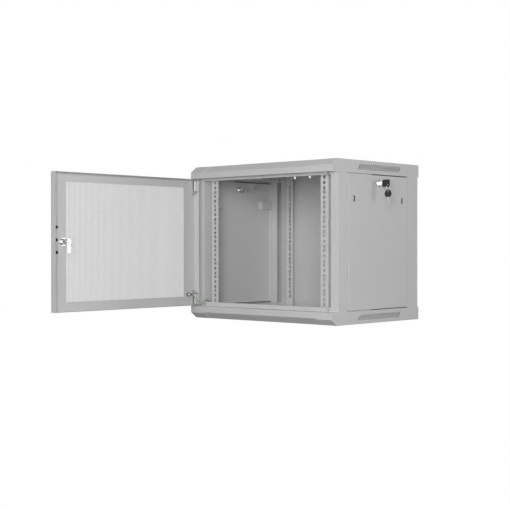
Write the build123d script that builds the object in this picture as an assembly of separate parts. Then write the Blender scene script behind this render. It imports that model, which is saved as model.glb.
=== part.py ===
from build123d import *
import math
import os

# Wall-mounting equipment cabinet, 9 rack units, door open at 90 degrees.
# Millimetres. X right, Y back (the front faces -Y), Z up.
# Origin: centre of the base's underside.

os.makedirs("parts", exist_ok=True)

# ---------------------------------------------------------------- sizes
W, D, H = 600.0, 450.0, 501.0     # cabinet without door and keys
YF = -D / 2                       # front plane of the two bumpers
T = 1.5                           # cover, post and rail sheet
TP = 1.2                          # panel and door sheet
SKIRT = 40.0                      # height of the cover skirts
CH_D, CH_H = 25.0, 18.0           # bumper chamfer, depth and height
CH_IN = 2.2                       # sunk middle band of the chamfer
CH_END = 60.0                     # plain ends of the chamfer
STILE = 31.0                      # stile plane behind the front plane
POST_W, POST_D = 28.5, 46.5       # front post section
RPOST_W, RPOST_Y0, BACK_Y = 36.0, 389.5, 444.3
HEAD_Z, SILL_Z = 453.5, 52.9      # header and sill edges of the front opening
RAIL_X = 232.55                   # half of the rack hole spacing
RAIL_FY, RAIL_RY = 47.0, 425.0    # front and rear rail planes
UNIT = 44.45
UNITS = 9
SQ = 9.5                          # square rack hole
DOOR_X = 296.0                    # half door width
DOOR_Y0, DOOR_T = 2.0, 22.0       # door face behind the front plane
DOOR_Z0, DOOR_Z1 = 42.0, 459.5
PIN_X, PIN_Y = -290.0, 10.0       # hinge axis
PERF = (-245.0, 241.0, 68.0, 434.5)   # perforated field of the closed door
LOCK_X, LOCK_Z = 254.0, 251.5     # door lock
PAN_Y0, PAN_Y1, PAN_Z0, PAN_Z1 = 79.0, 388.0, 42.5, 458.0
SLOCK_Y, SLOCK_Z = 233.5, 433.0   # side panel lock
LATCH_Y = (108.0, 359.0)
LATCH_Z = 382.5
CAR_X0, CAR_X1 = 249.0, 285.0     # rail carriers
VENT_Y, VENT_P, VENT_Z = 135.5, 10.85, 20.0   # slanted vents in the side skirts
LIP_X = 289.5                     # inner edge of the lips over the side panels
WALL_X, WALL_Z = (161.0, 230.0), 19.0         # wall fixing holes in the rear skirts
BP_Z = 37.5                       # back panel's edge, above the underside
SEAL_Y0 = 200.0                   # front end of the side panels' sealing strips
R_EDGE = 1.2                      # bend radius on the covers' outer edges

XI = W / 2 - T                    # inner face of the side skirts


def box(x0, x1, y0, y1, z0, z1):
    """Box with y counted back from the front plane."""
    return Pos((x0 + x1) / 2, (y0 + y1) / 2 + YF, (z0 + z1) / 2) * Box(
        x1 - x0, y1 - y0, z1 - z0)


def cyl(axis, c, r, a0, a1):
    """Cylinder along an axis; c is the two other coordinates, y from the front."""
    h = a1 - a0
    m = (a0 + a1) / 2
    if axis == "x":
        return Pos(m, c[0] + YF, c[1]) * Rot(0, 90, 0) * Cylinder(r, h)
    if axis == "y":
        return Pos(c[0], m + YF, c[1]) * Rot(90, 0, 0) * Cylinder(r, h)
    return Pos(c[0], c[1] + YF, m) * Cylinder(r, h)


def prism_x(pts, x0, x1):
    """Extrude a (y, z) polygon along X."""
    f = make_face(Polyline(*[(x0, y + YF, z) for y, z in pts], close=True))
    return extrude(f, amount=x1 - x0, dir=(1, 0, 0))


def prism_z(pts, z0, z1):
    f = make_face(Polyline(*[(x, y + YF, z0) for x, y in pts], close=True))
    return extrude(f, amount=z1 - z0, dir=(0, 0, 1))


def prism_y(pts, y0, y1):
    f = make_face(Polyline(*[(x, y0 + YF, z) for x, z in pts], close=True))
    return extrude(f, amount=y1 - y0, dir=(0, 1, 0))


def hexa(r):
    return [(r * math.cos(math.radians(60 * k)), r * math.sin(math.radians(60 * k)))
            for k in range(6)]


def mirror_x(s):
    return mirror(s, about=Plane.YZ)


def flip_z(s):
    return mirror(s, about=Plane.XY.offset(H / 2))


def group(items):
    out = []
    for i in items:
        out += list(i.solids())
    return Compound(children=out)


def save(name, shape):
    export_step(shape, f"parts/{name}.step")


def opened(s):
    """Carry a piece of the closed door to the door's rest pose, open at 90 degrees."""
    return Pos(PIN_X, PIN_Y + YF, 0) * Rot(0, 0, -90) * Pos(-PIN_X, -PIN_Y - YF, 0) * s


# ---------------------------------------------------------------- covers
def cover_profile(inset):
    """Folded (y, z) section of the base cover; inset sinks the chamfer."""
    n = math.hypot(CH_D, CH_H)

    def y_at(z, off):      # chamfer line, moved inwards by off
        return CH_D - (CH_D * z - off * n) / CH_H

    def z_at(y, off):
        return (CH_H * (CH_D - y) + off * n) / CH_D

    o, i = inset, inset + T
    # outer run from the rear skirt's top round to the lip's inner end
    outer = [(D, SKIRT), (D, 0), (y_at(0, o), 0)]
    outer += [(0, z_at(0, o)), (0, SKIRT), (STILE, SKIRT)]
    inner = [(STILE, SKIRT - T), (T, SKIRT - T), (T, z_at(T, i)), (y_at(T, i), T),
             (D - T, T), (D - T, SKIRT)]
    return outer + inner


def vent_cutter(x0, x1, z):
    cuts = []
    for k in range(20):
        y = VENT_Y + VENT_P * k
        s = Pos(x0, y + YF, z) * Rot(0, 90, 0) * Rot(0, 0, 90) * SlotOverall(23, 4.6, rotation=52)
        cuts.append(extrude(s, amount=x1 - x0, dir=(1, 0, 0)))
    return cuts


xm = W / 2 - CH_END
cover = prism_x(cover_profile(0), -XI, -xm) + prism_x(cover_profile(0), xm, XI)
cover += prism_x(cover_profile(CH_IN), -xm, xm)
nn = math.hypot(CH_D, CH_H)


def band(off):
    return [(CH_D - (-off * nn) / CH_H, 0), (0, (CH_H * CH_D + off * nn) / CH_D)]


web = [(CH_D, 0), (0, CH_H), (0, band(CH_IN + T)[1][1]), (band(CH_IN + T)[0][0], 0)]
for a in (-xm - T, xm):
    cover += prism_x(web, a, a + T)
side = [(CH_D, 0), (D, 0), (D, SKIRT), (0, SKIRT), (0, CH_H)]
cover += prism_x(side, XI, W / 2) + prism_x(side, -W / 2, -XI)
# lips over the side panels' edges, between the posts
for a, b in ((-XI, -LIP_X), (LIP_X, XI)):
    cover += box(a, b, STILE + POST_D + 0.3, RPOST_Y0 - 0.3, SKIRT - T, SKIRT)
# wall fixing holes in the rear skirt
for sx in (-1, 1):
    for x in WALL_X:
        cover -= cyl("y", (sx * x, WALL_Z), 4.5, D - T - 1, D + 1)
# hinge bush seat in the lip
cover -= cyl("z", (PIN_X, PIN_Y), 4.5, SKIRT - 4, SKIRT + 1)
# cable entry near the rear
cover -= box(-150, 150, 330, 400, -1, T + 1)
cc_pts = [(-160, 365), (160, 365)]
for p in cc_pts:
    cover -= cyl("z", p, 2.0, -1, T + 1)
cover = cover.clean()
bends = [e for e in cover.edges()
         if abs(abs(e.center().X) - W / 2) < 0.01 and min(abs(v.X) for v in e.vertices()) > W / 2 - 0.01
         and (e.length > 24 or e.center().Y < YF + 1) and e.center().Z < SKIRT - 1]
bends += [e for e in cover.edges()
          if e.length > 300 and abs(e.center().X) < 1 and e.center().Y < YF + 0.01 and e.center().Z > 17]
cover = fillet(bends, R_EDGE)


def vented(c, z):
    """The slots lean the same way in the roof and the base."""
    for a, b in ((XI - 1, W / 2 + 1), (-W / 2 - 1, -XI + 1)):
        for v in vent_cutter(a, b, z):
            c -= v
    return c


base_cover = vented(cover, VENT_Z)
roof_cover = vented(flip_z(cover), H - VENT_Z)
save("base_cover", base_cover)
save("roof_cover", roof_cover)

cc = box(-170, 170, 320, 410, T, T + TP)
for p in cc_pts:
    cc -= cyl("z", p, 2.0, T - 1, T + TP + 1)
save("cable_covers", group([cc, flip_z(cc)]))
ccs = [cyl("z", p, 2.0, 0.2, T + TP) + cyl("z", p, 4.0, T + TP, T + TP + 2) for p in cc_pts]
ccs += [flip_z(s) for s in ccs]

bush = cyl("z", (PIN_X, PIN_Y), 4.5, SKIRT - 4, SKIRT) + cyl("z", (PIN_X, PIN_Y), 6.5, SKIRT - 4, SKIRT - T)
bush -= cyl("z", (PIN_X, PIN_Y), 3.08, SKIRT - 5, SKIRT + 1)
save("hinge_bushes", group([bush, flip_z(bush)]))

# ---------------------------------------------------------------- posts
post = box(-XI, -XI + POST_W, STILE, STILE + POST_D, T, H - T)
post = fillet(post.edges().filter_by(Axis.Z), 1.6)
pin_ = box(-XI + T, -XI + POST_W - T, STILE + T, STILE + POST_D - T, T - 1, H)
post -= pin_
# slot for the door lock's cam
cam_slot = box(XI - POST_W - 1, XI - POST_W + T + 0.5, STILE + T + 0.1, STILE + 8, LOCK_Z - 40, LOCK_Z + 12)
save("front_post_left", post)
save("front_post_right", mirror_x(post) - cam_slot)

rpost = prism_z([(-XI, RPOST_Y0), (-XI + RPOST_W, RPOST_Y0), (-XI + RPOST_W, RPOST_Y0 + T),
                 (-XI + T, RPOST_Y0 + T), (-XI + T, BACK_Y - T), (-XI + RPOST_W + 12, BACK_Y - T),
                 (-XI + RPOST_W + 12, BACK_Y), (-XI, BACK_Y)], T, H - T)
back_scr = [(sx * 281.0, z) for sx in (-1, 1) for z in (70.0, 250.5, 431.0)]


def back_holes(s):
    for p in back_scr:
        s -= cyl("y", p, 2.5, BACK_Y - 10, BACK_Y + 5)
    return s


save("rear_post_left", back_holes(rpost))
save("rear_post_right", back_holes(mirror_x(rpost)))

back = box(-XI, XI, BACK_Y, BACK_Y + TP, BP_Z, H - BP_Z)
save("back_panel", back_holes(back))
bs = [cyl("y", p, 2.5, BACK_Y - 5, BACK_Y + TP) + cyl("y", p, 4.8, BACK_Y + TP, BACK_Y + TP + 2.2)
      for p in back_scr]


def cross(z0, z1, d):
    """Angle section between the posts; z1 is the edge of the opening, d its side."""
    return prism_x([(STILE, z0), (STILE, z1), (STILE + 13, z1), (STILE + 13, z1 + d * T),
                    (STILE + T, z1 + d * T), (STILE + T, z0)], -XI + POST_W, XI - POST_W)


fs_sill = [(sx * 262.8, 46.4) for sx in (-1, 1)]
fs_head = [(sx * 262.8, 457.2) for sx in (-1, 1)]
header, sill = cross(H - T, HEAD_Z, 1), cross(T, SILL_Z, -1)
for p in fs_head:
    header -= cyl("y", p, 2.0, STILE - 1, STILE + 3)
for p in fs_sill:
    sill -= cyl("y", p, 2.0, STILE - 1, STILE + 3)
save("front_header", header)
save("front_sill", sill)
fs = [cyl("y", p, 2.0, STILE, STILE + 6) + cyl("y", p, 3.4, STILE - 2, STILE) for p in fs_sill + fs_head]

# ---------------------------------------------------------------- rail carriers
SLOT_N = 15
SL_Y0 = 62.0
SL_P = (411.0 - 62.0) / (SLOT_N - 1)
SL_Z = 27.0
Y0C, Y1C = STILE + POST_D, RPOST_Y0
CY0, CY1 = 50.0, 441.0
xp, xr = XI - POST_W, XI - RPOST_W          # inner sides of the posts
car = box(-CAR_X1, -xp, Y0C, Y1C, 13.5, 13.5 + T) + box(-xp, -CAR_X0, CY0, Y1C, 13.5, 13.5 + T)
car += box(-xr, -CAR_X0, Y1C, CY1, 13.5, 13.5 + T)
flange = box(-CAR_X0 - T, -CAR_X0, CY0, CY1, 13.5, 38)
for k in range(SLOT_N):
    y = SL_Y0 + SL_P * k
    s = Pos(-CAR_X0 - T - 1, y + YF, SL_Z) * Rot(0, 90, 0) * Rot(0, 0, 90) * SlotOverall(16, 6.4)
    flange -= extrude(s, amount=T + 2, dir=(1, 0, 0))
car = car + flange
gs = (-266.0, 84.0)
car_l = car - cyl("z", gs, 3.0, 12, 16)
save("carrier_bottom_left", car_l)
save("carrier_bottom_right", mirror_x(car))
save("carrier_top_left", flip_z(car))
save("carrier_top_right", mirror_x(flip_z(car)))

# ---------------------------------------------------------------- rack rails
RZ0, RZ1 = 16.0, H - 16.0
z_u0 = (HEAD_Z + SILL_Z) / 2 - UNITS * UNIT / 2
hole_z = [z_u0 + UNIT * u + dz for u in range(UNITS) for dz in (6.35, 22.225, 38.1)]
RX_IN = RAIL_X - 14.0
RX_OUT = CAR_X0


def rail_face(y):
    xc = -(RX_IN + RX_OUT) / 2
    sk_ = Rectangle(RX_OUT - RX_IN, RZ1 - RZ0)
    for z in hole_z:
        sk_ -= Pos(-RAIL_X - xc, z - (RZ0 + RZ1) / 2) * Rectangle(SQ, SQ)
    pl = Plane(origin=(xc, y + YF, (RZ0 + RZ1) / 2), x_dir=(1, 0, 0), z_dir=(0, -1, 0))
    return extrude(pl * sk_, amount=T, dir=(0, 1, 0))


def rail(y, back_flange):
    r = rail_face(y)
    if back_flange:
        f = box(-RX_OUT, -RX_OUT + T, y, y + 28, RZ0, RZ1)
        ys = SL_Y0
    else:
        f = box(-RX_OUT, -RX_OUT + T, y + T - 28, y + T, RZ0, RZ1)
        ys = SL_Y0 + SL_P * (SLOT_N - 1)
    r = r + f
    for z in (SL_Z, H - SL_Z):
        r -= cyl("x", (ys, z), 3.0, -RX_OUT - 1, -RX_OUT + T + 1)
    return r


rf, rr = rail(RAIL_FY, True), rail(RAIL_RY, False)
save("rail_front_left", rf)
save("rail_front_right", mirror_x(rf))
save("rail_rear_left", rr)
save("rail_rear_right", mirror_x(rr))
rs = []
for ys in (SL_Y0, SL_Y0 + SL_P * (SLOT_N - 1)):
    for z in (SL_Z, H - SL_Z):
        s = cyl("x", (ys, z), 3.0, -CAR_X0 - T, -CAR_X0 + T)
        s += cyl("x", (ys, z), 5.0, -CAR_X0 + T, -CAR_X0 + T + 3)
        s += cyl("x", (ys, z), 5.0, -CAR_X0 - T - 4, -CAR_X0 - T)
        rs += [s, mirror_x(s)]
save("cabinet_screws", group(rs + bs + ccs + fs))

# ---------------------------------------------------------------- door
y0, y1 = DOOR_Y0, DOOR_Y0 + DOOR_T
tray = box(-DOOR_X, DOOR_X, y0, y1, DOOR_Z0, DOOR_Z1)
tray = fillet(tray.edges().filter_by(Axis.Z).group_by(Axis.Y)[0]
              + tray.edges().filter_by(Axis.X).group_by(Axis.Y)[0], 2.0)
tray -= box(-DOOR_X + TP, DOOR_X - TP, y0 + TP, y1 + 1, DOOR_Z0 + TP, DOOR_Z1 - TP)
tray -= box(PERF[0], PERF[1], y0 - 1, y0 + TP + 1, PERF[2], PERF[3])
tray -= cyl("y", (LOCK_X, LOCK_Z), 9.0, y0 - 1, y0 + 3)
plug_z = [LOCK_Z + 6 + d for d in (-37.5, 0, 37.5)]
for z in plug_z:
    tray -= cyl("y", (276, z), 3.5, y0 - 1, y0 + 3)
for z0_, z1_ in ((DOOR_Z0 - 1, DOOR_Z0 + 2), (DOOR_Z1 - 2, DOOR_Z1 + 1)):
    tray -= cyl("z", (PIN_X, PIN_Y), 3.08, z0_, z1_)
save("door_frame", opened(tray))
sheet = box(PERF[0], PERF[1], y0, y0 + TP, PERF[2], PERF[3])
save("door_perforated_sheet", opened(sheet))

# folded brackets that guide the two L-shaped hinge pins
def bracket_top():
    zt = DOOR_Z1 - TP - 0.05
    xa = -DOOR_X + TP + 0.05
    b = box(xa, PIN_X + 9, y0 + TP, y0 + TP + 1.5, zt - 40, zt)
    for z in (zt - 4, zt - 40):
        b += box(xa, PIN_X + 9, y0 + TP, y1 - 3, z, z + 2)
        b -= cyl("z", (PIN_X, PIN_Y), 3.08, z - 1, z + 3)
    b -= cyl("z", (PIN_X, PIN_Y), 3.08, zt - 45, zt + 1)
    return b


bt = bracket_top()
dz_mid = (DOOR_Z0 + DOOR_Z1)


def flip_door(s):
    return mirror(s, about=Plane.XY.offset(dz_mid / 2))


save("door_hinge_brackets", opened(group([bt, flip_door(bt)])))


def hinge_pin(z_top, z_bend, dx, dz):
    # top end at z_top, bent leg towards the door's middle at z_bend
    path = FilletPolyline((PIN_X, PIN_Y + YF, z_top), (PIN_X, PIN_Y + YF, z_bend),
                          (PIN_X + dx, PIN_Y + YF, z_bend + dz), radius=5)
    sec = Plane(origin=(PIN_X, PIN_Y + YF, z_top), z_dir=(0, 0, -1 if z_bend < z_top else 1)) * Circle(3.0)
    return sweep(sec, path=path)


pt_ = hinge_pin(H - SKIRT + 4.0, DOOR_Z1 - 45, 10.5, -4.0)
pb_ = hinge_pin(SKIRT - 4.0, DOOR_Z0 + 45, 10.5, 4.0)
# collars held between the bracket's ears
colt = cyl("z", (PIN_X, PIN_Y), 4.5, DOOR_Z1 - TP - 9, DOOR_Z1 - TP - 6)
colb = cyl("z", (PIN_X, PIN_Y), 4.5, DOOR_Z0 + TP + 6, DOOR_Z0 + TP + 9)
save("hinge_pin_top", opened(pt_ + colt))
save("hinge_pin_bottom", opened(pb_ + colb))

# lock barrel, nut, plug and cam
LY_OUT, LY_IN = y0 - 3.0, STILE + 1.7
lb = cyl("y", (LOCK_X, LOCK_Z), 13.0, LY_OUT, y0) + cyl("y", (LOCK_X, LOCK_Z), 9.0, y0, LY_IN)
lb = lb - cyl("y", (LOCK_X, LOCK_Z), 6.05, LY_OUT - 1, LY_IN + 1)
save("door_lock_body", opened(lb))
nut = prism_y([(LOCK_X + a, LOCK_Z + b) for a, b in hexa(14.0)], y0 + TP, y0 + TP + 5)
nut -= cyl("y", (LOCK_X, LOCK_Z), 9.0, y0, y0 + 10)
save("door_lock_nut", opened(nut))
plug = cyl("y", (LOCK_X, LOCK_Z), 6.0, LY_OUT + 0.3, LY_IN + 0.3)
plug -= box(LOCK_X - 0.9, LOCK_X + 0.9, LY_OUT, LY_OUT + 6, LOCK_Z - 4, LOCK_Z + 4)
save("door_lock_plug", opened(plug))
cam = box(LOCK_X - 6.5, LOCK_X + 6.5, LY_IN + 0.3, LY_IN + 2.3, LOCK_Z - 34, LOCK_Z)
cam += cyl("y", (LOCK_X, LOCK_Z), 8.0, LY_IN + 0.3, LY_IN + 2.3)
cam = fillet(cam.edges().filter_by(Axis.Y).group_by(Axis.Z)[0], 3.0)
cam += cyl("y", (LOCK_X, LOCK_Z), 4.5, LY_IN + 2.3, LY_IN + 4.8)
save("door_lock_cam", opened(cam))

plugs = [cyl("y", (276, z), 3.5, y0, y0 + TP) + cyl("y", (276, z), 4.6, y0 + TP, y0 + TP + 2.0)
         + cyl("y", (276, z), 4.6, y0 - 1.0, y0) for z in plug_z]
save("door_plugs", opened(group(plugs)))

# door earth stud with its ring terminal
DG = (-259.0, 78.5)
stud = cyl("y", DG, 3.0, y0 + TP, y0 + TP + 15)
gn = prism_y([(DG[0] + a, DG[1] + b) for a, b in hexa(5.8)], y0 + TP + 6.5, y0 + TP + 11)
gn2 = prism_y([(DG[0] + a, DG[1] + b) for a, b in hexa(5.8)], y0 + TP, y0 + TP + 4)
save("door_ground_stud", opened(stud + gn + gn2))
TY = y0 + TP + 4
ring = cyl("y", DG, 6.2, TY, TY + 1.5) - cyl("y", DG, 3.0, TY - 1, TY + 3)
crimp = cyl("x", (TY + 2.6, DG[1]), 2.6, DG[0] - 16, DG[0] - 8) + box(
    DG[0] - 10, DG[0] - 5, TY, TY + 1.5, DG[1] - 2.6, DG[1] + 2.6)
ring = ring + crimp - cyl("y", DG, 3.0, TY - 1, TY + 8)
ring -= prism_y([(DG[0] + a, DG[1] + b) for a, b in hexa(5.8)], y0 + TP + 6.5 - 1, y0 + TP + 12)
save("door_ring_terminal", opened(ring))

# ---------------------------------------------------------------- cabinet earth
gz = 13.5 + T
s1 = cyl("z", gs, 3.0, 12.0, gz + 14)
s1 += Pos(gs[0], gs[1] + YF, gz) * extrude(make_face(Polyline(*hexa(5.8), close=True)), amount=4)
s1 += Pos(gs[0], gs[1] + YF, gz + 5.5) * extrude(make_face(Polyline(*hexa(5.8), close=True)), amount=4)
save("cabinet_ground_stud", s1)
cr = cyl("z", gs, 6.2, gz + 4, gz + 5.5) - cyl("z", gs, 3.0, gz, gz + 8)
cr += box(gs[0] - 2.6, gs[0] + 2.6, gs[1] - 10, gs[1] - 5, gz + 4, gz + 5.5)
cr += cyl("y", (gs[0], gz + 6.6), 2.6, gs[1] - 19, gs[1] - 8)
cr -= cyl("z", gs, 3.0, gz, gz + 10)
cr -= Pos(gs[0], gs[1] + YF, gz + 5.5) * extrude(make_face(Polyline(*hexa(5.8), close=True)), amount=6)
save("cabinet_ring_terminal", cr)

# earth lead: door stud, down past the bottom hinge, over the sill, to the carrier
tx = PIN_X + (TY + 2.6 - PIN_Y)            # open position of the door terminal's crimp
ty = PIN_Y - (DG[0] - 16 - PIN_X)
LEAD = [(tx, ty, DG[1]), (tx, ty + 5, DG[1]), (-273.0, 0.0, 64.0), (-270.5, 7.0, 49.0), (-268.0, 17.0, 46.5),
        (-261.0, 37.0, 66.0), (-257.0, 52.0, 48.0), (-266.0, 57.0, gz + 6.6), (-266.0, gs[1] - 19, gz + 6.6)]


def round_route(pts, k=0.45):
    """Straight runs joined by tangent arcs."""
    P = [Vector(x, y + YF, z) for x, y, z in pts]
    edges, last = [], P[0]
    for i in range(1, len(P) - 1):
        a, b = P[i - 1] - P[i], P[i + 1] - P[i]
        la, lb_ = a.length, b.length
        ua, ub = a.normalized(), b.normalized()
        turn = math.pi - math.acos(max(-1, min(1, ua.dot(ub))))
        d = k * min(la, lb_)
        t0, t1 = P[i] + ua * d, P[i] + ub * d
        r = d / math.tan(turn / 2)
        bis = (ua + ub).normalized()
        cdist = math.hypot(d, r)
        mid = P[i] + bis * (cdist - r)
        edges.append(Edge.make_line(last, t0))
        edges.append(Edge.make_three_point_arc(t0, mid, t1))
        last = t1
    edges.append(Edge.make_line(last, P[-1]))
    return Wire(edges)


w = round_route(LEAD)
d0 = (Vector(LEAD[1][0], LEAD[1][1], LEAD[1][2]) - Vector(*LEAD[0])).normalized()
sec = Plane(origin=(LEAD[0][0], LEAD[0][1] + YF, LEAD[0][2]), z_dir=tuple(d0)) * Circle(1.9)
lead = sweep(sec, path=w)
save("ground_lead", lead)

# ---------------------------------------------------------------- side panels
px0 = XI                      # inner face of the skin
pan = box(px0, px0 + TP, PAN_Y0, PAN_Y1, PAN_Z0, PAN_Z1)
for b in (box(px0 - 10, px0, PAN_Y0, PAN_Y0 + TP, PAN_Z0, PAN_Z1),
          box(px0 - 10, px0, PAN_Y1 - TP, PAN_Y1, PAN_Z0, PAN_Z1),
          box(px0 - 10, px0, PAN_Y0, PAN_Y1, PAN_Z0, PAN_Z0 + TP),
          box(px0 - 10, px0, PAN_Y0, PAN_Y1, PAN_Z1 - TP, PAN_Z1),
          # raised beads that close the gap to the lips ahead of the seals
          box(px0 - 8.5, px0 - 2.5, PAN_Y0 + 3, SEAL_Y0 - 1, PAN_Z1 - TP, PAN_Z1 + 2.6),
          box(px0 - 8.5, px0 - 2.5, PAN_Y0 + 3, SEAL_Y0 - 1, PAN_Z0 - 2.1, PAN_Z0 + TP)):
    pan += b
pan = fillet(pan.edges().filter_by(Axis.Z).group_by(Axis.X)[-1]
             + pan.edges().filter_by(Axis.Y).group_by(Axis.X)[-1], 1.0)
pan -= cyl("x", (SLOCK_Y, SLOCK_Z), 8.0, px0 - 1, px0 + 3)
for y in LATCH_Y:
    s = Pos(px0 - 1, y + YF, LATCH_Z) * Rot(0, 90, 0) * RectangleRounded(18, 12, 2.5)
    pan -= extrude(s, amount=4, dir=(1, 0, 0))
save("side_panel_right", pan)
save("side_panel_left", mirror_x(pan))
# black sealing strips on the panel's upper and lower flanges
seal = [box(px0 - 8.5, px0 - 2.5, SEAL_Y0, PAN_Y1 - 3, PAN_Z1, PAN_Z1 + 2.6),
        box(px0 - 8.5, px0 - 2.5, SEAL_Y0, PAN_Y1 - 3, PAN_Z0 - 2.1, PAN_Z0)]
save("panel_seal_right", group(seal))
save("panel_seal_left", group([mirror_x(q) for q in seal]))

slb = cyl("x", (SLOCK_Y, SLOCK_Z), 11.0, px0 + TP, px0 + TP + 2.2)
slb += cyl("x", (SLOCK_Y, SLOCK_Z), 8.0, 288.3, px0 + TP)
slb -= cyl("x", (SLOCK_Y, SLOCK_Z), 5.55, 280, 310)
save("side_lock_body_right", slb)
save("side_lock_body_left", mirror_x(slb))
sn = prism_x([(SLOCK_Y + a, SLOCK_Z + b) for a, b in hexa(12.0)], px0 - 4.5, px0)
sn -= cyl("x", (SLOCK_Y, SLOCK_Z), 8.0, 280, 310)
save("side_lock_nut_right", sn)
save("side_lock_nut_left", mirror_x(sn))
PX_IN, PX_OUT = 288.0, px0 + TP + 1.9
splug = cyl("x", (SLOCK_Y, SLOCK_Z), 5.5, PX_IN, PX_OUT)
keyway = box(PX_OUT - 9, PX_OUT + 1, SLOCK_Y - 0.9, SLOCK_Y + 0.9, SLOCK_Z - 4, SLOCK_Z + 4)
save("side_lock_plug_right", splug - keyway)
save("side_lock_plug_left", mirror_x(splug - keyway))
scam = box(PX_IN - 2, PX_IN, SLOCK_Y, SLOCK_Y + 34, SLOCK_Z - 7, SLOCK_Z + 7)
scam = fillet(scam.edges().filter_by(Axis.X).group_by(Axis.Y)[-1], 3.0)
scam += cyl("x", (SLOCK_Y, SLOCK_Z), 8.0, PX_IN - 2, PX_IN)
scam += cyl("x", (SLOCK_Y, SLOCK_Z), 4.0, PX_IN - 4.5, PX_IN - 2)
save("side_lock_cam_right", scam)
save("side_lock_cam_left", mirror_x(scam))

# panel earth stud with nut and washer
PS = (SLOCK_Y + 85.0, 439.0)
ps = cyl("x", PS, 3.0, px0 - 14, px0) + cyl("x", PS, 6.0, px0 - 1.4, px0)
ps += prism_x([(PS[0] + a, PS[1] + b) for a, b in hexa(5.8)], px0 - 6, px0 - 1.4)
ps += cyl("x", PS, 6.0, px0 - 7.2, px0 - 6)
save("side_panel_stud_right", ps)
save("side_panel_stud_left", mirror_x(ps))

# key in the right lock and the spare on its ring
KZ = SLOCK_Z
blade = box(PX_OUT - 9, 318, SLOCK_Y - 0.9, SLOCK_Y + 0.9, KZ - 4, KZ + 4)
save("key_blade", blade)
kh = box(314, 341, SLOCK_Y - 1.7, SLOCK_Y + 1.7, KZ - 11.5, KZ + 11.5)
kh = fillet(kh.edges().filter_by(Axis.Y), 5.0)
kh = chamfer(kh.faces().filter_by(Axis.Y).edges(), 0.4)
RX, RZ = 335.0, KZ - 5.0
kh -= cyl("y", (RX, RZ), 2.6, SLOCK_Y - 3, SLOCK_Y + 3)
kh -= blade
save("key_head", kh)
RR, RW = 9.0, 0.8
rz_top = RZ - 2.6 + RW + 0.25
ringk = Pos(RX, SLOCK_Y + YF, rz_top - RR) * Rot(0, 90, 0) * Torus(RR, RW)
save("key_ring", ringk)
rz_bot = rz_top - 2 * RR
H2 = rz_bot + RW + 0.25 - 2.6            # spare key's hole centre
c2 = H2 - 6.4
sh = cyl("y", (RX, c2), 12.0, SLOCK_Y - 1.7, SLOCK_Y + 1.7)
sh = chamfer(sh.faces().filter_by(Axis.Y).edges(), 0.4)
sh -= cyl("y", (RX, H2), 2.6, SLOCK_Y - 3, SLOCK_Y + 3)
sb = box(RX - 4, RX + 4, SLOCK_Y - 0.9, SLOCK_Y + 0.9, c2 - 34, c2 - 8)
sb += cyl("z", (RX, SLOCK_Y), 4.2, c2 - 14, c2 - 11.2)
sb = chamfer(sb.edges().filter_by(Axis.Y).group_by(Axis.Z)[0], 2.0)
sh -= box(RX - 4, RX + 4, SLOCK_Y - 0.9, SLOCK_Y + 0.9, c2 - 34, c2 - 8)
sh -= cyl("z", (RX, SLOCK_Y), 4.2, c2 - 14, c2 - 11.2)
save("spare_key_head", sh)
save("spare_key_blade", sb)

# ---------------------------------------------------------------- side latches
LX0 = px0 - 14


def housing(y, d):
    """Box on the panel's inside; d = -1 throws to the front, +1 to the rear."""
    h = box(LX0, px0, y - 26, y + 26, LATCH_Z - 15, LATCH_Z + 15)
    h = fillet(h.edges().filter_by(Axis.X) + h.edges().group_by(Axis.X)[0], 2.0)
    h -= box(LX0 + 1.5, px0 + 1, y - 24.5, y + 24.5, LATCH_Z - 13.5, LATCH_Z + 13.5)
    e0, e1 = (y - 27, y - 24) if d < 0 else (y + 24, y + 27)
    h -= box(px0 - 9.2, px0 - 4.8, e0, e1, LATCH_Z - 9.2, LATCH_Z + 9.2)
    return h


def slider(y, d):
    ya, yb = (y - 26.5, y + 14) if d < 0 else (y - 14, y + 26.5)
    s = box(px0 - 9, px0 - 5, ya, yb, LATCH_Z - 9, LATCH_Z + 9)
    yc = y + d * 2.6
    s += box(px0 - 5, px0 + 0.6, yc - 2.8, yc + 2.8, LATCH_Z - 7, LATCH_Z + 7)
    return s


hr = group([housing(LATCH_Y[0], -1), housing(LATCH_Y[1], 1)])
save("latch_housings_right", hr)
save("latch_housings_left", mirror_x(hr))
for nm, y, d in (("front", LATCH_Y[0], -1), ("rear", LATCH_Y[1], 1)):
    s = slider(y, d)
    save(f"latch_{nm}_right", s)
    save(f"latch_{nm}_left", mirror_x(s))
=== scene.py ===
import math
import bpy
from mathutils import Matrix, Vector


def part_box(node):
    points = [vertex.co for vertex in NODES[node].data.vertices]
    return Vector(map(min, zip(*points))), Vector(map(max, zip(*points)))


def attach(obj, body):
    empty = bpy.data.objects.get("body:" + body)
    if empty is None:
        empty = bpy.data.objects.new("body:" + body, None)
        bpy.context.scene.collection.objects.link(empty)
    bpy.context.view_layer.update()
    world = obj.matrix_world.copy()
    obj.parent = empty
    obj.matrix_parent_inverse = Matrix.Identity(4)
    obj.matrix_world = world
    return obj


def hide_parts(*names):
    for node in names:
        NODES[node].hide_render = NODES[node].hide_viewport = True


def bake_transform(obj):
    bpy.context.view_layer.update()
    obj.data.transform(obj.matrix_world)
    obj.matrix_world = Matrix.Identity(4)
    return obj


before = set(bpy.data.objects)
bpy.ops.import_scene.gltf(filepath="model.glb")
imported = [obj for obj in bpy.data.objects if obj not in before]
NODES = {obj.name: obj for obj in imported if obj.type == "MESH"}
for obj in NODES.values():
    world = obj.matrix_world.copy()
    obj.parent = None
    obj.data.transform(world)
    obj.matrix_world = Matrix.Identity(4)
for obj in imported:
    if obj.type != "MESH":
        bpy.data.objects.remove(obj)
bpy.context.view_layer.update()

scene = bpy.context.scene


def link(o):
    scene.collection.objects.link(o)
    return o


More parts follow.
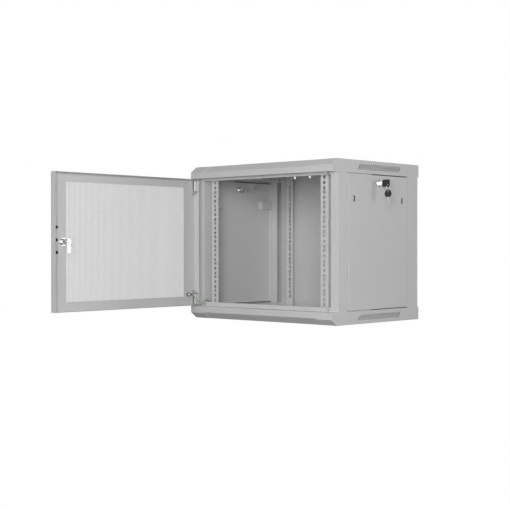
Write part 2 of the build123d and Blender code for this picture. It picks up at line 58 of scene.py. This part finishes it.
# ---------------------------------------------------------------- camera
YAW, PITCH, ROLL = math.radians(42.693), math.radians(0.4825), math.radians(0.035)
fwd = Vector((-math.sin(YAW) * math.cos(PITCH), math.cos(YAW) * math.cos(PITCH), -math.sin(PITCH)))
right = Vector((math.cos(YAW), math.sin(YAW), 0.0))
up = right.cross(fwd)
turn = Matrix.Rotation(ROLL, 3, fwd)
right, up = turn @ right, turn @ up
cam = bpy.data.cameras.new("view_camera")
cam.lens, cam.sensor_width = 79.453, 36.0
cam.clip_start, cam.clip_end = 0.05, 100.0
cam_o = link(bpy.data.objects.new("view_camera", cam))
rot = Matrix((right, up, -fwd)).transposed()
cam_o.matrix_world = Matrix.Translation((2.3952, -2.8321, 0.2401)) @ rot.to_4x4()
scene.camera = cam_o

# ---------------------------------------------------------------- the earth lead's route
# metres, in the row frame: out of the door's terminal, round the hinge, to the cabinet's terminal
ROUTE = [(-0.2902, -0.2300, 0.0785), (-0.2902, -0.2250, 0.0785), (-0.2730, -0.2250, 0.0640),
         (-0.2705, -0.2180, 0.0490), (-0.2680, -0.2080, 0.0465), (-0.2610, -0.1880, 0.0660),
         (-0.2570, -0.1730, 0.0480), (-0.2660, -0.1680, 0.0216), (-0.2660, -0.1600, 0.0216)]
LEAD_R = 0.0019


def nurbs_path(name, pts):
    cu = bpy.data.curves.new(name, "CURVE")
    cu.dimensions = "3D"
    cu.resolution_u = 16
    sp = cu.splines.new("NURBS")
    sp.points.add(len(pts) - 1)
    for q, p in zip(sp.points, pts):
        q.co = (*p, 1.0)
    sp.order_u = 3
    sp.use_endpoint_u = True
    o = link(bpy.data.objects.new(name, cu))
    bpy.context.view_layer.update()
    me = bpy.data.meshes.new_from_object(o)
    line = [v.co.copy() for v in me.vertices]
    bpy.data.meshes.remove(me)
    bpy.data.objects.remove(o)
    bpy.data.curves.remove(cu)
    return line


def tube(name, line, r, n=16):
    """Round tube along a line, with its ends closed; the ring's faces come first and the two end caps last."""
    verts, faces = [], []
    d0 = (line[1] - line[0]).normalized()
    u = d0.orthogonal().normalized()
    for i, p in enumerate(line):
        a = line[max(i - 1, 0)]
        b = line[min(i + 1, len(line) - 1)]
        t = (b - a).normalized()
        u = (u - t * u.dot(t)).normalized()
        v = t.cross(u)
        for k in range(n):
            w = 2 * math.pi * k / n
            verts.append(p + u * (r * math.cos(w)) + v * (r * math.sin(w)))
    for i in range(len(line) - 1):
        for k in range(n):
            k2 = (k + 1) % n
            faces.append((i * n + k, i * n + k2, (i + 1) * n + k2, (i + 1) * n + k))
    m = len(line) - 1
    faces.append(tuple(range(n - 1, -1, -1)))
    faces.append(tuple(m * n + k for k in range(n)))
    me = bpy.data.meshes.new(name)
    me.from_pydata([tuple(v) for v in verts], [], faces)
    me.update()
    for i, f in enumerate(me.polygons):
        f.use_smooth = i < len(faces) - 2
    return me


# ---------------------------------------------------------------- materials
def shader(name):
    m = bpy.data.materials.new(name)
    m.use_nodes = True
    nt = m.node_tree
    nt.nodes.clear()
    out = nt.nodes.new("ShaderNodeOutputMaterial")
    b = nt.nodes.new("ShaderNodeBsdfPrincipled")
    nt.links.new(b.outputs["BSDF"], out.inputs["Surface"])
    tc = nt.nodes.new("ShaderNodeTexCoord")
    return m, nt, b, tc.outputs["Object"]


def noise(nt, co, scale, detail=2.0, rough=0.5, stretch=None, distortion=0.0):
    if stretch:
        mp = nt.nodes.new("ShaderNodeMapping")
        mp.inputs["Scale"].default_value = stretch
        nt.links.new(co, mp.inputs["Vector"])
        co = mp.outputs["Vector"]
    n = nt.nodes.new("ShaderNodeTexNoise")
    n.inputs["Scale"].default_value = scale
    n.inputs["Detail"].default_value = detail
    n.inputs["Roughness"].default_value = rough
    n.inputs["Distortion"].default_value = distortion
    nt.links.new(co, n.inputs["Vector"])
    return n.outputs["Fac"]


def spread(nt, fac, lo, hi, f0=0.3, f1=0.7):
    n = nt.nodes.new("ShaderNodeMapRange")
    n.inputs["From Min"].default_value = f0
    n.inputs["From Max"].default_value = f1
    n.inputs["To Min"].default_value = lo
    n.inputs["To Max"].default_value = hi
    nt.links.new(fac, n.inputs["Value"])
    return n.outputs["Result"]


def ramp(nt, fac, stops):
    n = nt.nodes.new("ShaderNodeValToRGB")
    e = n.color_ramp.elements
    while len(e) > 1:
        e.remove(e[-1])
    e[0].position, e[0].color = stops[0][0], (*stops[0][1], 1)
    for p, c in stops[1:]:
        q = e.new(p)
        q.color = (*c, 1)
    nt.links.new(fac, n.inputs["Fac"])
    return n.outputs["Color"]


def bump(nt, b, height, dist, strength=1.0, normal=None):
    n = nt.nodes.new("ShaderNodeBump")
    n.inputs["Strength"].default_value = strength
    n.inputs["Distance"].default_value = dist
    nt.links.new(height, n.inputs["Height"])
    if normal is not None:
        nt.links.new(normal, n.inputs["Normal"])
    nt.links.new(n.outputs["Normal"], b.inputs["Normal"])
    return n.outputs["Normal"]


def powder_coat(name, g, peel=0.00004):
    """Light grey polyester powder coat: orange peel, a finer grit and a slow unevenness of shade."""
    m, nt, b, co = shader(name)
    slow = noise(nt, co, 5.0, 3.0, 0.55)
    fine = noise(nt, co, 900.0, 2.0, 0.6)
    shade = ramp(nt, slow, [(0.25, (g * 0.975,) * 3), (0.75, (g * 1.02,) * 3)])
    grit = ramp(nt, fine, [(0.30, (0.93,) * 3), (0.62, (1.0,) * 3)])
    mx = nt.nodes.new("ShaderNodeMix")
    mx.data_type = "RGBA"
    mx.blend_type = "MULTIPLY"
    mx.inputs["Factor"].default_value = 1.0
    nt.links.new(shade, mx.inputs["A"])
    nt.links.new(grit, mx.inputs["B"])
    nt.links.new(mx.outputs["Result"], b.inputs["Base Color"])
    nt.links.new(spread(nt, noise(nt, co, 60.0, 3.0), 0.44, 0.56), b.inputs["Roughness"])
    orange = noise(nt, co, 420.0, 1.0, 0.4)
    first = bump(nt, b, orange, peel, 0.55)
    bump(nt, b, fine, peel * 0.45, 0.5, first)
    b.inputs["Specular IOR Level"].default_value = 0.42
    return m


def zinc(name):
    """Bright zinc plate: drawn streaks, spangle-like patches, bluish white."""
    m, nt, b, co = shader(name)
    patch = noise(nt, co, 320.0, 3.0, 0.6)
    col = ramp(nt, patch, [(0.3, (0.62, 0.64, 0.67)), (0.5, (0.74, 0.75, 0.76)), (0.7, (0.86, 0.86, 0.84))])
    nt.links.new(col, b.inputs["Base Color"])
    b.inputs["Metallic"].default_value = 1.0
    streak = noise(nt, co, 90.0, 3.0, 0.6, (1.0, 14.0, 3.0))
    nt.links.new(spread(nt, streak, 0.22, 0.40), b.inputs["Roughness"])
    bump(nt, b, streak, 0.00003, 0.35)
    return m


def zinc_dull(name, lo=0.40, hi=0.52):
    """Passivated sheet zinc: greyer and softer than the bright plate."""
    m, nt, b, co = shader(name)
    patch = noise(nt, co, 240.0, 3.0, 0.6)
    nt.links.new(ramp(nt, patch, [(0.3, (lo, lo + 0.01, lo + 0.02)), (0.7, (hi, hi, hi))]), b.inputs["Base Color"])
    b.inputs["Metallic"].default_value = 1.0
    nt.links.new(spread(nt, patch, 0.42, 0.56), b.inputs["Roughness"])
    bump(nt, b, patch, 0.00003, 0.35)
    return m


def chrome(name):
    m, nt, b, co = shader(name)
    haze = noise(nt, co, 140.0, 3.0, 0.6)
    nt.links.new(ramp(nt, haze, [(0.3, (0.80, 0.80, 0.81)), (0.7, (0.90, 0.90, 0.90))]), b.inputs["Base Color"])
    b.inputs["Metallic"].default_value = 1.0
    nt.links.new(spread(nt, haze, 0.07, 0.18), b.inputs["Roughness"])
    bump(nt, b, noise(nt, co, 500.0, 2.0, 0.5), 0.00001, 0.3)
    return m


def black_plastic(name):
    """Moulded black nylon: fine spark-eroded grain and a slight sheen."""
    m, nt, b, co = shader(name)
    grain = noise(nt, co, 1600.0, 2.0, 0.6)
    nt.links.new(ramp(nt, noise(nt, co, 60.0, 3.0), [(0.3, (0.017, 0.017, 0.018)), (0.7, (0.030, 0.030, 0.031))]),
                 b.inputs["Base Color"])
    nt.links.new(spread(nt, grain, 0.36, 0.52), b.inputs["Roughness"])
    bump(nt, b, grain, 0.00004, 0.5)
    return m


def brass(name):
    """Copper-alloy terminal, lightly tarnished."""
    m, nt, b, co = shader(name)
    t = noise(nt, co, 260.0, 4.0, 0.6)
    nt.links.new(ramp(nt, t, [(0.3, (0.30, 0.15, 0.08)), (0.5, (0.52, 0.29, 0.16)), (0.7, (0.70, 0.44, 0.26))]),
                 b.inputs["Base Color"])
    b.inputs["Metallic"].default_value = 1.0
    nt.links.new(spread(nt, t, 0.42, 0.26), b.inputs["Roughness"])
    bump(nt, b, t, 0.00003, 0.4)
    return m


def pvc(name, dark, light):
    m, nt, b, co = shader(name)
    t = noise(nt, co, 500.0, 2.0, 0.5)
    nt.links.new(ramp(nt, t, [(0.3, dark), (0.7, light)]), b.inputs["Base Color"])
    nt.links.new(spread(nt, t, 0.30, 0.42), b.inputs["Roughness"])
    bump(nt, b, t, 0.00003, 0.35)
    return m


COAT = 0.70
MATS = {
    "powder_coat": powder_coat("powder_coat_grey", COAT),
    "zinc": zinc("zinc_plate"),
    "chrome": chrome("chrome_plate"),
    "black_plastic": black_plastic("black_nylon"),
    "brass": brass("copper_terminal"),
    "wire_insulation": pvc("insulation_green", (0.20, 0.40, 0.24), (0.26, 0.47, 0.29)),
}
YELLOW = pvc("insulation_yellow", (0.52, 0.56, 0.32), (0.62, 0.64, 0.40))

DULL = zinc_dull("zinc_passivated")
DULL_NODES = ("latch_front_left", "latch_front_right", "latch_rear_left", "latch_rear_right")
SATIN = zinc_dull("zinc_satin", 0.66, 0.80)
SATIN_NODES = ("door_hinge_brackets", "hinge_pin_top", "hinge_pin_bottom", "spare_key_blade")

for n, o in NODES.items():
    for s in o.material_slots:
        key = s.material.name.split(".")[0] if s.material else "powder_coat"
        s.material = DULL if n in DULL_NODES else SATIN if n in SATIN_NODES else MATS[key]

# ---------------------------------------------------------------- the door's perforated field
# round holes on a triangular pitch, in upright columns that alternate by half a pitch
PITCH, HOLE_R, SIDES = 0.00533, 0.00220, 8
lo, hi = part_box("door_perforated_sheet")
x0, x1 = lo.x, hi.x
step = PITCH * math.sqrt(3) / 2          # between columns, along Y
half = PITCH / 2                         # along Z
cols = int((hi.y - lo.y - 0.0012) / step)
tall = int((hi.z - lo.z - 0.0012) / PITCH)
ya = (lo.y + hi.y - cols * step) / 2
za = (lo.z + hi.z - tall * PITCH) / 2
yb, zb = ya + cols * step, za + tall * PITCH


def perforated(name, c0, c1):
    """The sheet between columns c0 and c1, with the field's plain edge where it meets it."""
    verts, faces, seen = [], [], {}

    def vert(x, y, z):
        key = (round(x * 1e7), round(y * 1e7), round(z * 1e7))
        if key not in seen:
            seen[key] = len(verts)
            verts.append((x, y, z))
        return seen[key]

    def both(loop):
        """One flat face on each side of the sheet; loop runs anticlockwise seen from +X."""
        faces.append([vert(x1, *p) for p in loop])
        faces.append([vert(x0, *p) for p in reversed(loop)])

    def edge(p, q):
        faces.append([vert(x0, *p), vert(x0, *q), vert(x1, *q), vert(x1, *p)])

    def grid(c, k):
        return (ya + c * step, za + k * half)

    for c in range(c0, c1):
        odd = c % 2
        for k in range(1 + odd, 2 * tall - odd, 2):
            ring = [grid(c, k - 1), grid(c + 1, k - 1), grid(c + 1, k), grid(c + 1, k + 1), grid(c, k + 1), grid(c, k)]
            cy, cz = ya + (c + 0.5) * step, za + k * half
            hole = []
            for j in range(SIDES):
                w = 2 * math.pi * (j + 0.5) / SIDES
                hole.append((cy + HOLE_R * math.cos(w), cz + HOLE_R * math.sin(w)))
            # hole points anticlockwise from 22.5 degrees; ring corners anticlockwise from the lower left
            take = [[5], [6, 7], [0], [1], [2, 3], [4]]
            last = {0: 5, 1: 7, 2: 0, 3: 1, 4: 3, 5: 4}
            for j in range(6):
                a, b = ring[j], ring[(j + 1) % 6]
                fan = [hole[last[j]]] + [hole[q] for q in take[(j + 1) % 6]]
                # from ring edge a-b to the hole points that face it
                both([a, b, fan[1], fan[0]])
                for q in range(1, len(fan) - 1):
                    both([b, fan[q + 1], fan[q]])
            for j in range(SIDES):
                p, q = hole[j], hole[(j + 1) % SIDES]
                faces.append([vert(x1, *p), vert(x1, *q), vert(x0, *q), vert(x0, *p)])
        if odd:
            for k in (0, 2 * tall - 1):
                both([grid(c, k), grid(c + 1, k), grid(c + 1, k + 1), grid(c, k + 1)])
        a, b = ya + c * step, ya + (c + 1) * step
        both([(a, lo.z), (b, lo.z), (b, za), (a, za)])
        both([(a, zb), (b, zb), (b, hi.z), (a, hi.z)])
        edge((b, lo.z), (a, lo.z))
        edge((a, hi.z), (b, hi.z))
    for end, a, b in ((0, lo.y, ya), (cols, yb, hi.y)):
        if end not in (c0, c1):
            continue
        for k in range(2 * tall):
            both([(a, za + k * half), (b, za + k * half), (b, za + (k + 1) * half), (a, za + (k + 1) * half)])
        both([(a, lo.z), (b, lo.z), (b, za), (a, za)])
        both([(a, zb), (b, zb), (b, hi.z), (a, hi.z)])
        edge((b, lo.z), (a, lo.z))
        edge((a, hi.z), (b, hi.z))
        rim = lo.y if end == 0 else hi.y
        steps = [lo.z] + [za + k * half for k in range(2 * tall + 1)] + [hi.z]
        for z2, z3 in zip(steps, steps[1:]):
            edge(*(((rim, z2), (rim, z3)) if end == 0 else ((rim, z3), (rim, z2))))
    me = bpy.data.meshes.new(name)
    me.from_pydata(verts, [], faces)
    me.update()
    for f in me.polygons:
        f.use_smooth = True
    me.set_sharp_from_angle(angle=math.radians(50))
    me.materials.append(MATS["powder_coat"])
    o = link(bpy.data.objects.new(name, me))
    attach(o, "door")
    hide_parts("door_perforated_sheet")
    print(name, len(me.polygons), "faces,", sum(len(f.vertices) - 2 for f in me.polygons), "triangles")
    return o


print("perforations:", cols, "columns of", tall)
perforated("door_mesh_field_front", 0, cols // 2)
perforated("door_mesh_field_hinge", cols // 2, cols)

# ---------------------------------------------------------------- the earth lead
line = nurbs_path("lead_route", ROUTE)
lead_mesh = tube("earth_lead", line, LEAD_R)
lead_mesh.materials.append(MATS["wire_insulation"])
lead_mesh.materials.append(YELLOW)
for i, f in enumerate(lead_mesh.polygons):
    if i < len(lead_mesh.polygons) - 2 and (i % 16) in (0, 1, 2, 8, 9, 10):
        f.material_index = 1
lead = link(bpy.data.objects.new("earth_lead", lead_mesh))
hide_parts("ground_lead")
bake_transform(lead)

# ---------------------------------------------------------------- floor and light
floor_mesh = bpy.data.meshes.new("studio_floor")
S = 30.0
floor_mesh.from_pydata([(-S, -S, -0.0005), (S, -S, -0.0005), (S, S, -0.0005), (-S, S, -0.0005)], [], [(0, 1, 2, 3)])
floor = link(bpy.data.objects.new("studio_floor", floor_mesh))
fm = bpy.data.materials.new("studio_white")
fm.use_nodes = True
nt = fm.node_tree
nt.nodes.clear()
out = nt.nodes.new("ShaderNodeOutputMaterial")
mixs = nt.nodes.new("ShaderNodeMixShader")
lp = nt.nodes.new("ShaderNodeLightPath")
em = nt.nodes.new("ShaderNodeEmission")
em.inputs["Color"].default_value = (1, 1, 1, 1)
em.inputs["Strength"].default_value = 1.0
df = nt.nodes.new("ShaderNodeBsdfDiffuse")
df.inputs["Color"].default_value = (0.55, 0.55, 0.55, 1)
nt.links.new(lp.outputs["Is Camera Ray"], mixs.inputs["Fac"])
nt.links.new(df.outputs["BSDF"], mixs.inputs[1])
nt.links.new(em.outputs["Emission"], mixs.inputs[2])
nt.links.new(mixs.outputs["Shader"], out.inputs["Surface"])
floor_mesh.materials.append(fm)

world = bpy.data.worlds.new("studio")
scene.world = world
world.use_nodes = True
nt = world.node_tree
nt.nodes.clear()
out = nt.nodes.new("ShaderNodeOutputWorld")
tc = nt.nodes.new("ShaderNodeTexCoord")
sep = nt.nodes.new("ShaderNodeSeparateXYZ")
nt.links.new(tc.outputs["Generated"], sep.inputs["Vector"])
mr = nt.nodes.new("ShaderNodeMapRange")
mr.inputs["From Min"].default_value = 0.0
mr.inputs["From Max"].default_value = 0.9
mr.inputs["To Min"].default_value = 0.10
mr.inputs["To Max"].default_value = 0.08
nt.links.new(sep.outputs["Z"], mr.inputs["Value"])
light_bg = nt.nodes.new("ShaderNodeBackground")
light_bg.inputs["Color"].default_value = (1, 1, 1, 1)
nt.links.new(mr.outputs["Result"], light_bg.inputs["Strength"])
seen_bg = nt.nodes.new("ShaderNodeBackground")
seen_bg.inputs["Color"].default_value = (1, 1, 1, 1)
seen_bg.inputs["Strength"].default_value = 1.0
lp = nt.nodes.new("ShaderNodeLightPath")
mixs = nt.nodes.new("ShaderNodeMixShader")
nt.links.new(lp.outputs["Is Camera Ray"], mixs.inputs["Fac"])
nt.links.new(light_bg.outputs["Background"], mixs.inputs[1])
nt.links.new(seen_bg.outputs["Background"], mixs.inputs[2])
nt.links.new(mixs.outputs["Shader"], out.inputs["Surface"])


def area(name, loc, target, size, power):
    l = bpy.data.lights.new(name, "AREA")
    l.shape = "RECTANGLE"
    l.size, l.size_y = size
    l.energy = power
    o = link(bpy.data.objects.new(name, l))
    o.location = loc
    o.rotation_euler = (Vector(target) - Vector(loc)).to_track_quat("-Z", "Y").to_euler()
    return o


area("softbox_camera", (2.2, -2.95, 0.8), (0.0, -0.1, 0.25), (1.4, 1.4), 72.0)
area("softbox_front", (0.2, -3.6, 0.3), (0.0, -0.1, 0.25), (1.6, 1.6), 15.5)
area("softbox_side", (3.0, 2.0, 0.5), (0.0, -0.1, 0.25), (1.6, 1.6), 29.5)
area("softbox_top", (0.0, 0.0, 2.9), (0.0, 0.0, 0.25), (1.6, 1.6), 16.0)

scene.view_settings.view_transform = "Standard"
scene.view_settings.look = "None"
scene.view_settings.exposure = 0.0
scene.view_settings.gamma = 1.0
